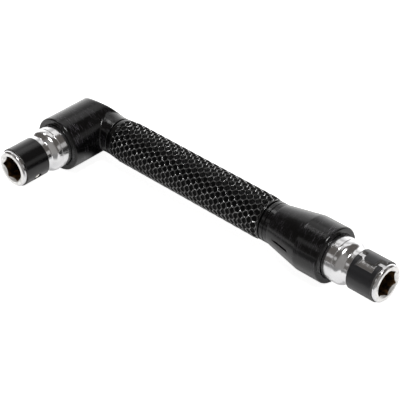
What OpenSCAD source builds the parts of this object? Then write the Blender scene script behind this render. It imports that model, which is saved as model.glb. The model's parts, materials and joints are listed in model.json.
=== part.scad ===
// Offset screwdriver for quarter-inch hex bits. A knurled handle carries one bit holder in line
// with it, in a flared ferrule, and a second one at a right angle to it, in an elbow-shaped head.
// Lengths are millimetres and angles are degrees. The handle runs along X and the side holder
// points along -Y. The part lies on the undersides of its head and ferrule.

/* [Hex socket] */
// Size of the bits across their flats
bit_af = 6.35; // [6.2:0.05:6.5]
// Play of a bit in the socket, across the flats
bit_play = 0.1; // [0.05:0.01:0.2]
// Depth of the socket, from its mouth to the magnet
socket_depth = 10; // [8.5:0.5:11]
// How far the conical lead-in opens past the flats at the mouth
lead_in = 0.62; // [0.4:0.02:0.7]
// Radius of the disc magnet at the bottom of the socket
magnet_r = 3; // [2.4:0.1:3.1]
// Thickness of the disc magnet
magnet_t = 2.5; // [2:0.1:3]

/* [Bit holder] */
// Wall between the socket's corners and the floor of the clip groove
socket_wall = 1.08; // [0.9:0.02:1.3]
// Radius of the shank that sits in the body
shank_r = 4; // [3.6:0.1:4.4]
// Length of the shank behind the body's face
shank_l = 9; // [8:0.5:10.5]
// Chamfer at the back end of the shank
shank_edge = 0.4; // [0.2:0.1:0.8]
// Depth by which the collar sits in the body's face
collar_seat = 0.8; // [0.5:0.1:1.2]
// Length of the collar in front of the body's face
collar_l = 3; // [2.4:0.1:3.6]
// How far the collar stands out past the waist
collar_step = 1.05; // [0.8:0.05:1.3]
// Chamfer at the back of the collar
collar_edge = 0.4; // [0.2:0.1:0.6]
// Width of the fine crease turned where the collar's shoulder begins
crease_w = 0.2; // [0.1:0.05:0.3]
// Depth of that crease
crease_depth = 0.12; // [0.08:0.02:0.2]
// Length of the round shoulder between collar and waist
shoulder_l = 2.8; // [2.2:0.1:3.4]
// Length of the waist between shoulder and clip groove
waist_l = 1.5; // [1:0.1:2]
// How far the waist stands out past the groove's floor
waist_step = 0.15; // [0.1:0.05:0.25]
// Length of the nose ring in front of the clip groove
nose_ring_l = 1; // [0.8:0.1:1.5]
// How far the nose ring stands out past the groove's floor
nose_step = 0.3; // [0.2:0.05:0.5]
// Chamfer around the nose
nose_edge = 0.4; // [0.2:0.05:0.6]

/* [Retaining clip] */
// Length of the sprung sleeve along the holder
clip_l = 7.7; // [7:0.1:8.5]
// Thickness of the sleeve
clip_t = 0.62; // [0.5:0.02:0.8]
// Edge radius of the sleeve
clip_edge = 0.14; // [0.08:0.02:0.2]
// Gap at each end of the sleeve in its groove
clip_end_gap = 0.15; // [0.1:0.05:0.3]
// Width of the tongue at the slit, along the holder
tongue_w = 3.6; // [3:0.1:4.2]
// Gap along each side of the tongue
tongue_gap = 0.65; // [0.4:0.05:0.9]
// Corner radius at the tongue's tip
tongue_corner = 0.85; // [0.5:0.05:1.2]
// Angle of the shoulder where the tongue begins, from the ball's window
shoulder_angle = 136.5; // [132:0.5:142]
// Angle of the two tab ends beside the tongue
tab_angle = 157; // [153:0.5:160]
// Angle of the tongue's tip
tongue_angle = 164.5; // [162:0.5:169]
// Angle of the notch floor between the tabs
notch_angle = 185.5; // [180:0.5:190]

/* [Detent ball] */
// Radius of the ball
ball_r = 1.25; // [1.1:0.05:1.4]
// How far the ball stands into the socket at rest
ball_reach = 0.4; // [0.3:0.05:0.5]
// Half angle of the conical seat that keeps the ball from falling in
seat_angle = 36; // [32:1:40]

/* [Head] */
// Wall around the collar's seat, in the head and in the ferrule
head_wall = 1.55; // [1.2:0.05:2]
// Solid web between a shank's hole and the core rod
web = 2.7; // [2:0.1:3.5]
// Distance of the barrel's back behind the handle's axis
back_y = 3.8; // [3.2:0.1:4.6]
// Radius of that back, which is rounded about the handle's direction
back_r = 10.2; // [9:0.1:13]
// Lean of that back, which brings it out toward the neck
back_lean = 7; // [0:1:10]
// Length of the neck, from the head's axis to the grip
neck_l = 10; // [9.5:0.1:12]
// Length of the neck's straight root, from the head's axis
neck_root_l = 5; // [4:0.1:6]
// Length of the neck's straight end
neck_end_l = 2.2; // [1.5:0.1:3]
// How far the neck's straight end lies below the knurl
neck_drop = 0.5; // [0.2:0.05:0.8]
// How far the elbow and the neck's root stand out past that end
elbow_step = 0.35; // [0.2:0.05:0.8]

/* [Grip] */
// Radius over the knurl
grip_r = 5.95; // [5.5:0.05:6.5]
// Length of the knurl
knurl_l = 51; // [40:1:70]
// Length of the tapered band between head and knurl
front_band_l = 3.3; // [2.5:0.1:4.5]
// How far the tapered band lies below the knurl at the head
front_band_drop = 0.45; // [0.3:0.05:0.6]
// Length of the plain band between knurl and ferrule
rear_band_l = 1.6; // [1.2:0.1:3]
// How far the plain bands lie below the knurl
band_drop = 0.3; // [0.2:0.05:0.45]
// Width of the seam groove at each end of the grip
seam_w = 0.5; // [0.3:0.05:0.8]
// How far the floor of a seam groove lies below the knurl
seam_drop = 0.9; // [0.7:0.05:1.2]
// Radius of the rod through the grip
rod_r = 2.5; // [2:0.1:3]
// Length of the rod that sits in the head
rod_seat_l = 9; // [7:0.5:9]

/* [Ferrule] */
// Length of the first band, at the grip
lip_l = 1.15; // [0.8:0.05:2]
// Width of the fine line between the two bands
line_w = 0.2; // [0.1:0.05:0.3]
// Depth of that line
line_depth = 0.2; // [0.1:0.05:0.3]
// Length of the second band
second_band_l = 1.45; // [1:0.05:2.5]
// How far the flare lies below the knurl where it begins
flare_drop = 0.17; // [0.1:0.01:0.25]
// Length of the conical flare
flare_l = 10.5; // [8:0.5:14]
// Length of the straight rim around the bit holder
rim_l = 7.7; // [6:0.1:10]
// Chamfer around the faces of the rim and the barrel
rim_edge = 0.45; // [0.2:0.05:0.7]
// Length of the saw slit along the flare
slit_l = 6.6; // [5:0.1:7.5]
// Width of the saw slit
slit_w = 0.6; // [0.4:0.05:0.8]
// Depth of the saw slit
slit_depth = 0.5; // [0.3:0.05:0.7]
// Place of the slit around the handle, from +Y toward the top
slit_angle = 178; // [150:1:210]

/* [Holder pins] */
// Radius of the dowels that lock the shanks
pin_r = 1; // [0.8:0.05:1.2]
// How deep a dowel lies under the surface
pin_recess = 0.35; // [0.2:0.05:0.6]
// How far a dowel reaches past the holder's axis
pin_reach = 2; // [1:0.1:2.5]

/* [Fits] */
// Radial gap of what is pressed or glued in
press_gap = 0.02; // [0.01:0.01:0.04]
// Gap around the ball in its hole, its seat and its window
ball_gap = 0.05; // [0.03:0.01:0.08]
// Radial gap between a collar and its seat
collar_gap = 0.2; // [0.1:0.05:0.3]
// Gap between the end of a shank and the bottom of its hole
shank_end_gap = 0.2; // [0.1:0.05:0.4]

/* [Turn of the holders] */
// Turn of the side holder about its axis, ball from +X toward the top
side_turn = -32; // [-50:1:-10]
// Turn of the in-line holder about its axis, ball from +Y toward the top
inline_turn = -56; // [-75:1:-35]

/* [Hidden] */
$fn = 96;

// How far a cut runs past the surface that it opens
overrun = 1;

// Hex socket
flat_r = (bit_af + bit_play) / 2;
corner_r = flat_r / cos(30);

// Radii of a bit holder, from its clip groove outward, and of the body around it
groove_r = corner_r + socket_wall;
waist_r = groove_r + waist_step;
collar_r = waist_r + collar_step;
nose_r = groove_r + nose_step;
seat_r = collar_r + collar_gap;
head_r = seat_r + head_wall;

// Places along a bit holder, from the body's face toward the nose
groove_z = collar_l + shoulder_l + waist_l;
nose_ring_z = groove_z + clip_l + 2 * clip_end_gap;
nose_l = nose_ring_z + nose_ring_l;
socket_z = nose_l - socket_depth;
clip_z = groove_z + clip_end_gap;
ball_z = clip_z + clip_l / 2;
crease_z = collar_l - crease_w;
pin_z = -shank_l / 2;

// Radius of the shoulder's arc, which starts along the collar and ends at the waist
shoulder_r = (pow(shoulder_l, 2) + pow(collar_step, 2)) / (2 * collar_step);

// Retaining clip
clip_r_in = groove_r + press_gap;
clip_r = clip_r_in + clip_t;
notch_w = tongue_w + 2 * tongue_gap;

// Detent ball: its place, its hole and seat in the holder, and its window in the clip, which
// leaves the named gap to the ball all around the window's inner edge
ball_x = flat_r - ball_reach + ball_r;
ball_room_r = ball_r + ball_gap;
seat_apex_x = ball_x - ball_room_r / sin(seat_angle);
seat_cone_h = ball_room_r / tan(seat_angle);
window_x = (pow(clip_r_in, 2) + pow(ball_x, 2) - pow(ball_room_r, 2)) / (2 * ball_x);
window_r = sqrt(pow(clip_r_in, 2) - pow(window_x, 2));

// Radii along the handle
neck_r = grip_r - neck_drop;
elbow_r = neck_r + elbow_step;
band_r = grip_r - band_drop;
seam_r = grip_r - seam_drop;
flare_r = grip_r - flare_drop;
rod_hole_r = rod_r + press_gap;

// Places along the handle, from the head's axis toward the in-line holder
knurl_x = neck_l + seam_w + front_band_l;
rear_band_x = knurl_x + knurl_l;
ferrule_x = rear_band_x + rear_band_l + seam_w;
line_x = ferrule_x + lip_l;
second_band_x = line_x + line_w;
flare_x = second_band_x + second_band_l;
rim_x = flare_x + flare_l;
inline_face_x = rim_x + rim_l;
rod_x = neck_l - rod_seat_l;
shank_hole_l = shank_l + shank_end_gap;
rod_end_x = inline_face_x - shank_hole_l - web;

// Places across the head
side_face_y = shank_hole_l + web + rod_r;
barrel_l = side_face_y + back_y + head_r;

// Saw slit: the radius of the saw and the slope of the flare that it cuts into
slit_saw_r = (pow(slit_l / 2, 2) + pow(slit_depth, 2)) / (2 * slit_depth);
flare_slope = atan((head_r - flare_r) / flare_l);

// Middle of the tool's outline, which becomes the origin, on the surface that the tool lies on
middle_x = (inline_face_x + nose_l - max(head_r, elbow_r)) / 2;
middle_y = (max(head_r, elbow_r) - side_face_y - nose_l) / 2;
lying_z = max(head_r, elbow_r);

// Moves a piece from the crossing of the two axes to the tool's own origin.
module to_origin() {
    translate([-middle_x, -middle_y, lying_z]) children();
}

// Places a piece drawn along +Z, from the body's face outward, in the head.
module at_side() {
    to_origin() translate([0, -side_face_y, 0]) rotate([90, 0, 0]) children();
}

// Places a piece drawn along +Z, from the body's face outward, in the ferrule.
module at_inline() {
    to_origin() translate([inline_face_x, 0, 0]) rotate([90, 0, 90]) children();
}

// Turns an outline of radius and place along the handle around the handle's axis.
module around_handle() {
    rotate([0, 90, 0]) rotate_extrude() children();
}

// Outline of a disc from low to high with both outer edges rounded.
module rounded_disc_outline(r, low, high, edge) {
    translate([0, low]) square([r - edge, high - low]);
    translate([0, low + edge]) square([r, high - low - 2 * edge]);
    for (z = [low + edge, high - edge]) {
        translate([r - edge, z]) circle(edge);
    }
}

// Pie slice between two angles, of a given height about the ball's place on the holder.
module slice(from, to, height) {
    reach = 2 * clip_r;
    middle = (from + to) / 2;
    translate([0, 0, ball_z - height / 2]) linear_extrude(height) {
        polygon([
            [0, 0],
            [reach * cos(from), reach * sin(from)],
            [reach * cos(middle), reach * sin(middle)],
            [reach * cos(to), reach * sin(to)],
        ]);
    }
}

// Hole for a dowel, from below the body up past the holder's axis.
module pin_hole() {
    translate([0, -head_r - overrun, pin_z]) rotate([-90, 0, 0]) {
        cylinder(r = pin_r + press_gap, h = head_r + overrun + pin_reach);
    }
}

// Everything that head and ferrule are cut away for: shank, collar and dowel.
module holder_seat() {
    translate([0, 0, -shank_hole_l]) cylinder(r = shank_r + press_gap, h = shank_hole_l);
    translate([0, 0, -collar_seat]) cylinder(r = seat_r, h = collar_seat + overrun);
    pin_hole();
}

// Outline of a bit holder: shank, collar with its crease and shoulder, waist, clip groove and nose.
module holder_outline() {
    polygon([
        [0, -shank_l],
        [shank_r - shank_edge, -shank_l],
        [shank_r, shank_edge - shank_l],
        [shank_r, 0],
        [0, 0],
    ]);
    difference() {
        polygon([
            [0, -collar_seat],
            [collar_r - collar_edge, -collar_seat],
            [collar_r, collar_edge - collar_seat],
            [collar_r, collar_l],
            [0, collar_l],
        ]);
        translate([collar_r - crease_depth, crease_z]) square([overrun, crease_w]);
    }
    intersection() {
        translate([collar_r - shoulder_r, collar_l]) circle(shoulder_r);
        translate([0, collar_l]) square([collar_r, shoulder_l]);
    }
    square([waist_r, groove_z]);
    square([groove_r, nose_ring_z]);
    polygon([
        [0, nose_ring_z],
        [nose_r, nose_ring_z],
        [nose_r, nose_l - nose_edge],
        [nose_r - nose_edge, nose_l],
        [0, nose_l],
    ]);
}

// Hex socket with its lead-in, and the round pocket of the magnet below it.
module socket_void() {
    translate([0, 0, socket_z]) rotate([0, 0, 30]) {
        cylinder(r = corner_r, h = socket_depth + overrun, $fn = 6);
    }
    translate([0, 0, nose_l - 2 * lead_in]) {
        cylinder(r1 = flat_r - lead_in, r2 = flat_r + lead_in, h = 2 * lead_in);
    }
    translate([0, 0, socket_z - magnet_t]) {
        cylinder(r = magnet_r + press_gap, h = magnet_t + overrun);
    }
}

// Cross hole of the ball, from its conical seat at the socket out to the clip.
module ball_void() {
    translate([seat_apex_x, 0, ball_z]) rotate([0, 90, 0]) {
        cylinder(r1 = 0, r2 = ball_room_r, h = seat_cone_h);
        translate([0, 0, seat_cone_h]) cylinder(r = ball_room_r, h = groove_r);
    }
}

// One bit holder, turned about its axis. The dowel's hole stays upright.
module bit_holder(turn) {
    difference() {
        rotate_extrude() holder_outline();
        rotate([0, 0, turn]) {
            socket_void();
            ball_void();
        }
        pin_hole();
    }
}

// Tongue of the clip, as a bar that crosses the sleeve, with two round corners at its tip.
module tongue() {
    reach = 2 * clip_r;
    lean = tongue_angle - (shoulder_angle + tongue_angle) / 2;
    tip = clip_r * sin(lean);
    translate([0, 0, ball_z]) rotate([0, 0, tongue_angle - lean]) rotate([90, 0, 90]) {
        linear_extrude(reach) {
            translate([-reach, -tongue_w / 2]) square([reach + tip - tongue_corner, tongue_w]);
            translate([-reach, tongue_corner - tongue_w / 2]) {
                square([reach + tip, tongue_w - 2 * tongue_corner]);
            }
            for (side = [-1, 1]) {
                translate([tip - tongue_corner, side * (tongue_w / 2 - tongue_corner)]) {
                    circle(tongue_corner);
                }
            }
        }
    }
}

// Retaining clip: a slit sleeve with a tongue between two tabs, and the ball's window.
module retaining_clip() {
    difference() {
        rotate_extrude() difference() {
            rounded_disc_outline(clip_r, clip_z, clip_z + clip_l, clip_edge);
            translate([0, clip_z - overrun]) square([clip_r_in, clip_l + 2 * overrun]);
        }
        difference() {
            union() {
                slice(shoulder_angle, tab_angle, clip_l + 2 * overrun);
                slice(shoulder_angle, notch_angle, notch_w);
            }
            tongue();
        }
        translate([0, 0, ball_z]) rotate([0, 90, 0]) {
            cylinder(r = window_r, h = clip_r + overrun);
        }
    }
}

// What is given, turned end for end about the ball's axis.
module end_for_end() {
    translate([0, 0, 2 * ball_z]) rotate([180, 0, 0]) children();
}

// Detent ball at rest, against its seat.
module detent_ball(turn) {
    rotate([0, 0, turn]) translate([ball_x, 0, ball_z]) sphere(ball_r);
}

// Disc magnet in its pocket, level with the bottom of the socket.
module magnet() {
    translate([0, 0, socket_z - magnet_t]) cylinder(r = magnet_r, h = magnet_t);
}

// Dowel through the shank, from just under the body's underside.
module holder_pin() {
    translate([0, pin_recess - head_r, pin_z]) rotate([-90, 0, 0]) {
        cylinder(r = pin_r, h = head_r - pin_recess + pin_reach);
    }
}

// Saw slit in the flare: a thin disc that bites into the cone along its slope.
module flare_slit() {
    rotate([slit_angle - 90, 0, 0]) {
        translate([flare_x + flare_l / 2, 0, (flare_r + head_r) / 2]) {
            rotate([0, -flare_slope, 0]) translate([0, 0, slit_saw_r - slit_depth]) {
                rotate([90, 0, 0]) {
                    translate([0, 0, -slit_w / 2]) cylinder(r = slit_saw_r, h = slit_w);
                }
            }
        }
    }
}

// Hole for the core rod, between two places along the handle.
module rod_hole(from, to) {
    translate([from, 0, 0]) rotate([0, 90, 0]) cylinder(r = rod_hole_r, h = to - from);
}

// Room in which the barrel lies: straight along the handle, with a round back that leans.
module back_room() {
    translate([0, back_y - back_r, 0]) rotate([90, 0, 90 + back_lean]) {
        linear_extrude(4 * head_r, center = true) {
            circle(back_r);
            translate([-barrel_l, -back_r]) square([barrel_l, 2 * back_r]);
        }
    }
}

// Barrel of the head: a cylinder with a chamfered face and a round, leaning back.
module barrel() {
    intersection() {
        translate([0, -side_face_y, 0]) rotate([-90, 0, 0]) rotate_extrude() {
            polygon([
                [0, 0],
                [head_r - rim_edge, 0],
                [head_r, rim_edge],
                [head_r, barrel_l],
                [0, barrel_l],
            ]);
        }
        back_room();
    }
}

// Neck of the head: a round elbow with a straight root that tapers to a short straight end.
module neck() {
    around_handle() {
        intersection() {
            circle(elbow_r);
            translate([0, -elbow_r]) square(elbow_r);
        }
        polygon([
            [0, 0],
            [elbow_r, 0],
            [elbow_r, neck_root_l],
            [neck_r, neck_l - neck_end_l],
            [neck_r, neck_l],
            [0, neck_l],
        ]);
    }
}

module elbow_head() {
    color("#222224") difference() {
        to_origin() {
            barrel();
            neck();
        }
        to_origin() rod_hole(rod_x, neck_l + overrun);
        at_side() holder_seat();
    }
}

module knurled_grip() {
    color("#2b2b2e") to_origin() difference() {
        around_handle() polygon([
            [0, neck_l],
            [seam_r, neck_l],
            [seam_r, neck_l + seam_w],
            [grip_r - front_band_drop, neck_l + seam_w],
            [band_r, knurl_x],
            [grip_r, knurl_x],
            [grip_r, rear_band_x],
            [band_r, rear_band_x],
            [band_r, ferrule_x - seam_w],
            [seam_r, ferrule_x - seam_w],
            [seam_r, ferrule_x],
            [0, ferrule_x],
        ]);
        rod_hole(neck_l - overrun, ferrule_x + overrun);
    }
}

module end_ferrule() {
    color("#222224") difference() {
        to_origin() difference() {
            around_handle() polygon([
                [0, ferrule_x],
                [band_r, ferrule_x],
                [band_r, line_x],
                [band_r - line_depth, line_x],
                [band_r - line_depth, second_band_x],
                [band_r, second_band_x],
                [band_r, flare_x],
                [flare_r, flare_x],
                [head_r, rim_x],
                [head_r, inline_face_x - rim_edge],
                [head_r - rim_edge, inline_face_x],
                [0, inline_face_x],
            ]);
            rod_hole(ferrule_x - overrun, rod_end_x);
            flare_slit();
        }
        at_inline() holder_seat();
    }
}

module core_rod() {
    color("#8d9096") to_origin() translate([rod_x, 0, 0]) rotate([0, 90, 0]) {
        cylinder(r = rod_r, h = rod_end_x - rod_x);
    }
}

module side_bit_holder() {
    color("#c9cdd2") at_side() bit_holder(side_turn);
}

module inline_bit_holder() {
    color("#c9cdd2") at_inline() bit_holder(inline_turn);
}

module side_retaining_clip() {
    color("#17171a") at_side() rotate([0, 0, side_turn]) end_for_end() retaining_clip();
}

module inline_retaining_clip() {
    color("#17171a") at_inline() rotate([0, 0, inline_turn]) retaining_clip();
}

module side_detent_ball() {
    color("#b9bdc3") at_side() detent_ball(side_turn);
}

module inline_detent_ball() {
    color("#b9bdc3") at_inline() detent_ball(inline_turn);
}

module side_magnet() {
    color("#6f6a66") at_side() magnet();
}

module inline_magnet() {
    color("#6f6a66") at_inline() magnet();
}

module side_holder_pin() {
    color("#7d8086") at_side() holder_pin();
}

module inline_holder_pin() {
    color("#7d8086") at_inline() holder_pin();
}

elbow_head();
knurled_grip();
end_ferrule();
core_rod();
side_bit_holder();
inline_bit_holder();
side_retaining_clip();
inline_retaining_clip();
side_detent_ball();
inline_detent_ball();
side_magnet();
inline_magnet();
side_holder_pin();
inline_holder_pin();
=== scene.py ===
"""Offset screwdriver with two quarter-inch hex bit holders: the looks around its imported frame.

Sizes are millimetres in the classes and metres in Blender. The handle runs along +X, the side
holder points along -Y, and the tool lies on the floor at Z = 0.
"""

import json
import logging
import math
from dataclasses import dataclass
from enum import Enum, IntEnum
from typing import Any, Sequence

import bpy
import numpy as np
from mathutils import Matrix


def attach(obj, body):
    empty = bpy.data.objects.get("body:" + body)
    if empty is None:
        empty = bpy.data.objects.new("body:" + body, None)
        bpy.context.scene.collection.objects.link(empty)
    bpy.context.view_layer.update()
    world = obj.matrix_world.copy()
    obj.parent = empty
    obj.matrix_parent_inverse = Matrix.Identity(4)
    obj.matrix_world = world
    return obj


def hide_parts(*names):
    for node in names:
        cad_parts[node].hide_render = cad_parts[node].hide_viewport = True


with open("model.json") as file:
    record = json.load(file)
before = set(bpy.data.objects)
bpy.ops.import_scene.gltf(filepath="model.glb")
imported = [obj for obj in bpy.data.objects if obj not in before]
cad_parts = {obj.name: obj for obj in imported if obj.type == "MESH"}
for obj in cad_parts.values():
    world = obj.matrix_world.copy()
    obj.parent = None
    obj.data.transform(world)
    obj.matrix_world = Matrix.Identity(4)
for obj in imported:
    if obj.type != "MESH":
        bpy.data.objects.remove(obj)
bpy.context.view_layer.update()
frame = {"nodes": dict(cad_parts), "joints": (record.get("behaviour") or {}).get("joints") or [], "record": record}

LOG = logging.getLogger("offset_screwdriver")
MM = 0.001
TURN = 2 * math.pi
CRISP_EDGE_DEG = 38.0
CUTTER_COLUMNS = 64
ARC_POINTS = 4
SIDE_SHARE = 0.49
NEARLY_PARALLEL = 0.9

Corner = tuple[float, float, float]
Colour = tuple[float, float, float]


class Holder(Enum):
    """The two bit holders of the tool."""

    SIDE = "side"
    INLINE = "inline"


class HolderSurface(IntEnum):
    """Number of each material on a bit holder."""

    CHROME = 0
    SOCKET = 1
    FACE = 2


# Geometry


@dataclass(frozen=True)
class Place:
    """Where a piece lies: its origin in millimetres and three unit vectors."""

    origin: np.ndarray
    across: np.ndarray
    up: np.ndarray
    along: np.ndarray

    def to_frame(self, points: np.ndarray) -> np.ndarray:
        """Moves points from the piece's own millimetres to the shared frame's metres.

        Args:
            points: Array whose last axis holds the places across, up and along.

        Returns:
            Array of the same shape, in metres.
        """
        axes = np.stack([self.across, self.up, self.along])
        return (self.origin + points @ axes) * MM


def unit(vector: np.ndarray) -> np.ndarray:
    """Returns the vector at length one."""
    return vector / np.linalg.norm(vector)


def spaced(start: np.ndarray, end: np.ndarray, step: float) -> np.ndarray:
    """Divides a straight stretch evenly.

    Args:
        start: First point of the stretch.
        end: Last point, which is left out.
        step: Longest distance between two points.

    Returns:
        Array of points from start up to, but without, end.
    """
    count = max(1, math.ceil(np.linalg.norm(end - start) / step))
    share = np.arange(count)[:, None] / count
    return start + (end - start) * share


def rounded_outline(corners: Sequence[Corner], step: float) -> np.ndarray:
    """Runs an outline through corners that are each rounded by a radius of their own.

    An arc touches its two sides at radius * tan(turn / 2) from the corner. Its points are the
    two touching points blended by sin((1 - t) * turn) and sin(t * turn), seen from its centre.

    Args:
        corners: Radius, place and rounding of each corner, in millimetres.
        step: Longest distance between two points.

    Returns:
        Array of (radius, place) rows.
    """
    points = np.array([corner[:2] for corner in corners], float)
    pieces: list[np.ndarray] = []
    last = points[0]
    for (before, here, after), (_, _, rounding) in zip(
        zip(points, points[1:], points[2:]), corners[1:-1]
    ):
        back, ahead = unit(before - here), unit(after - here)
        turn = math.pi - math.acos(float(np.clip(back @ ahead, -1, 1)))
        room = SIDE_SHARE * min(np.linalg.norm(before - here), np.linalg.norm(after - here))
        reach = min(rounding * math.tan(turn / 2), room)
        start, end = here + back * reach, here + ahead * reach
        pieces.append(spaced(last, start, step))
        if reach > 0:
            radius = reach / math.tan(turn / 2)
            centre = here + unit(back + ahead) * radius / math.cos(turn / 2)
            count = max(ARC_POINTS, math.ceil(radius * turn / step))
            t = np.arange(count)[:, None] / count * turn
            arc = np.sin(turn - t) * (start - centre) + np.sin(t) * (end - centre)
            pieces.append(centre + arc / math.sin(turn))
        last = end
    pieces.append(spaced(last, points[-1], step))
    pieces.append(points[-1:])
    return np.concatenate(pieces)


def angles(columns: int) -> np.ndarray:
    """Returns evenly spaced angles over a turn, in radians."""
    return np.arange(columns) / columns * TURN


def around(radius: np.ndarray | float, angle: np.ndarray, place: np.ndarray) -> np.ndarray:
    """Puts points around the along axis: (radius cos angle, radius sin angle, place).

    Args:
        radius: Distances from the axis.
        angle: Angles in radians.
        place: Places along the axis.

    Returns:
        Array of points, in the common shape of the three.
    """
    parts = (radius * np.cos(angle), radius * np.sin(angle), place)
    return np.stack(np.broadcast_arrays(*parts), axis=-1)


def revolved(outline: np.ndarray, columns: int) -> np.ndarray:
    """Turns an outline of (radius, place) rows into rings of evenly spaced points."""
    return around(outline[:, :1], angles(columns), outline[:, 1:])


def ring_faces(rows: int, columns: int, endless: bool) -> np.ndarray:
    """Numbers the quads between neighbouring rings.

    Args:
        rows: Number of rings.
        columns: Number of points in a ring.
        endless: Whether the last ring joins the first.

    Returns:
        Array of four vertex numbers a quad.
    """
    index = np.arange(rows * columns).reshape(rows, columns)
    if endless:
        index = np.concatenate([index, index[:1]])
    here, ahead = index[:-1], index[1:]
    beside, beside_ahead = np.roll(here, -1, axis=1), np.roll(ahead, -1, axis=1)
    return np.stack([here, beside, beside_ahead, ahead], axis=-1).reshape(-1, 4)


def enclosed_volume(vertices: np.ndarray, quads: np.ndarray) -> float:
    """Adds up the signed volume under each quad's two triangles.

    Args:
        vertices: Array of places.
        quads: Array of four vertex numbers a face.

    Returns:
        The volume, negative if the faces point inwards.
    """
    a, b, c, d = (vertices[quads[:, k]] for k in range(4))
    first = np.einsum("ij,ij->i", a, np.cross(b, c))
    second = np.einsum("ij,ij->i", a, np.cross(c, d))
    return float((first + second).sum() / 6)


def add_mesh(name: str, vertices: np.ndarray, faces: list[list[int]]) -> bpy.types.Object:
    """Adds an object with a smooth mesh whose crisp edges are marked sharp.

    Args:
        name: Name of the piece.
        vertices: Array of places in metres.
        faces: Vertex numbers of each face, outward.

    Returns:
        The new object, at the origin.
    """
    mesh = bpy.data.meshes.new(name)
    mesh.from_pydata(vertices.tolist(), [], faces)
    mesh.validate()
    piece = bpy.data.objects.new(name, mesh)
    bpy.context.scene.collection.objects.link(piece)
    shade(piece)
    return piece


def shade(piece: bpy.types.Object) -> None:
    """Shades a piece smooth, with its sharper edges kept crisp.

    Args:
        piece: The piece.
    """
    mesh = piece.data
    mesh.polygons.foreach_set("use_smooth", np.ones(len(mesh.polygons), bool))
    mesh.set_sharp_from_angle(angle=math.radians(CRISP_EDGE_DEG))
    mesh.update()


def solid(name: str, rings: np.ndarray, endless: bool = False) -> bpy.types.Object:
    """Makes a closed, outward mesh from a stack of rings.

    The rings are joined by quads. The first and the last ring are closed by a fan to their
    middle, unless the stack is endless and they join each other.

    Args:
        name: Name of the piece.
        rings: Array of places in metres, shaped (rows, columns, 3).
        endless: Whether the last ring joins the first.

    Returns:
        The new object.
    """
    rows, columns, _ = rings.shape
    vertices = rings.reshape(-1, 3)
    quads = ring_faces(rows, columns, endless)
    fans: list[list[int]] = []
    if not endless:
        vertices = np.concatenate([vertices, rings[:1].mean(1), rings[-1:].mean(1)])
        first = np.arange(columns)
        last = first + (rows - 1) * columns
        low = np.full(columns, rows * columns)
        fans += np.stack([low, np.roll(first, -1), first], -1).tolist()
        fans += np.stack([low + 1, last, np.roll(last, -1)], -1).tolist()
    faces = quads.tolist() + fans
    if enclosed_volume(vertices, quads) < 0:
        faces = [face[::-1] for face in faces]
    return add_mesh(name, vertices, faces)


def carve(piece: bpy.types.Object, cutter: bpy.types.Object) -> None:
    """Cuts a closed cutter out of a closed piece for good, and removes the cutter.

    Args:
        piece: The piece that is cut.
        cutter: The piece whose volume is taken away.
    """
    modifier = piece.modifiers.new("carve", "BOOLEAN")
    modifier.operation = "DIFFERENCE"
    modifier.solver = "EXACT"
    modifier.object = cutter
    bpy.context.view_layer.update()
    graph = bpy.context.evaluated_depsgraph_get()
    whole = piece.data
    carved = bpy.data.meshes.new_from_object(piece.evaluated_get(graph))
    piece.modifiers.clear()
    piece.data = carved
    carved.name = piece.name
    bpy.data.meshes.remove(whole)
    bpy.data.objects.remove(cutter)
    shade(piece)


def rod_cutter(start: np.ndarray, end: np.ndarray, radius: float, place: Place) -> bpy.types.Object:
    """Makes a round bar between two points, to cut a hole with.

    Args:
        start: One end of the bar's axis, in the place's millimetres.
        end: The other end.
        radius: Radius in millimetres.
        place: Where the piece to be cut lies.

    Returns:
        The bar.
    """
    along = unit(end - start)
    helper = np.eye(3)[0 if abs(along[0]) < NEARLY_PARALLEL else 1]
    across = unit(np.cross(helper, along))
    bar = Place(start, across, np.cross(along, across), along)
    length = float(np.linalg.norm(end - start))
    outline = np.array([[radius, 0.0], [radius, length]])
    rings = bar.to_frame(revolved(outline, CUTTER_COLUMNS)) / MM
    return solid("cutter", place.to_frame(rings))


# Materials


class Value:
    """A number that varies over a surface. Arithmetic on it adds Math nodes."""

    def __init__(self, paint: "Nodes", socket: bpy.types.NodeSocket) -> None:
        """Wraps an output socket of a node tree."""
        self.paint = paint
        self.socket = socket

    def math(self, operation: str, *others: Any) -> "Value":
        """Adds a Math node with this value as its first input."""
        inputs = dict(enumerate((self, *others)))
        return self.paint.value("ShaderNodeMath", {"operation": operation}, inputs)

    def _flipped(self, operation: str, first: float) -> "Value":
        """Adds a Math node with this value as its second input."""
        return self.paint.value("ShaderNodeMath", {"operation": operation}, {0: first, 1: self})

    def __add__(self, other: Any) -> "Value":
        """Returns self + other."""
        return self.math("ADD", other)

    def __radd__(self, other: float) -> "Value":
        """Returns other + self."""
        return self._flipped("ADD", other)

    def __sub__(self, other: Any) -> "Value":
        """Returns self - other."""
        return self.math("SUBTRACT", other)

    def __rsub__(self, other: float) -> "Value":
        """Returns other - self."""
        return self._flipped("SUBTRACT", other)

    def __mul__(self, other: Any) -> "Value":
        """Returns self * other."""
        return self.math("MULTIPLY", other)

    def __rmul__(self, other: float) -> "Value":
        """Returns other * self."""
        return self._flipped("MULTIPLY", other)

    def step(self, low: float, high: float) -> "Value":
        """Rises softly from 0 to 1.

        Args:
            low: The number up to which the result is 0.
            high: The number from which it is 1.

        Returns:
            The result.
        """
        return self.paint.value(
            "ShaderNodeMapRange",
            {"interpolation_type": "SMOOTHSTEP"},
            {"Value": self, "From Min": low, "From Max": high},
        )


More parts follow.
